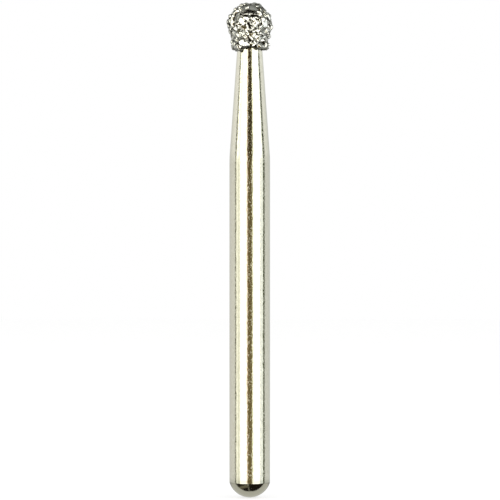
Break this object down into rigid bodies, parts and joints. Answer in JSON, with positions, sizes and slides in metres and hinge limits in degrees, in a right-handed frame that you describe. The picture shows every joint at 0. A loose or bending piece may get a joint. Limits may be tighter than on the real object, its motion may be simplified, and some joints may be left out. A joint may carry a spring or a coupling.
{
  "type": "dental bur",
  "caption": "Round diamond-coated dental bur with a collar, a tapered neck and a plain friction-grip shank that ends in a low dome.",
  "frame": {"origin": "lowest point of the domed butt end, on the bur's axis", "axes": "+Z along the bur's axis from the butt end to the head; +X and +Y are any two directions square to it"},
  "size_m": [0.0018, 0.0018, 0.0195],
  "materials": {
    "steel": "ground and polished",
    "diamond_coating": "bright nickel over coarse grit"
  },
  "bodies": {
    "root": {"steel_blank": "steel", "diamond_coating": "diamond_coating"}
  },
  "joints": []
}
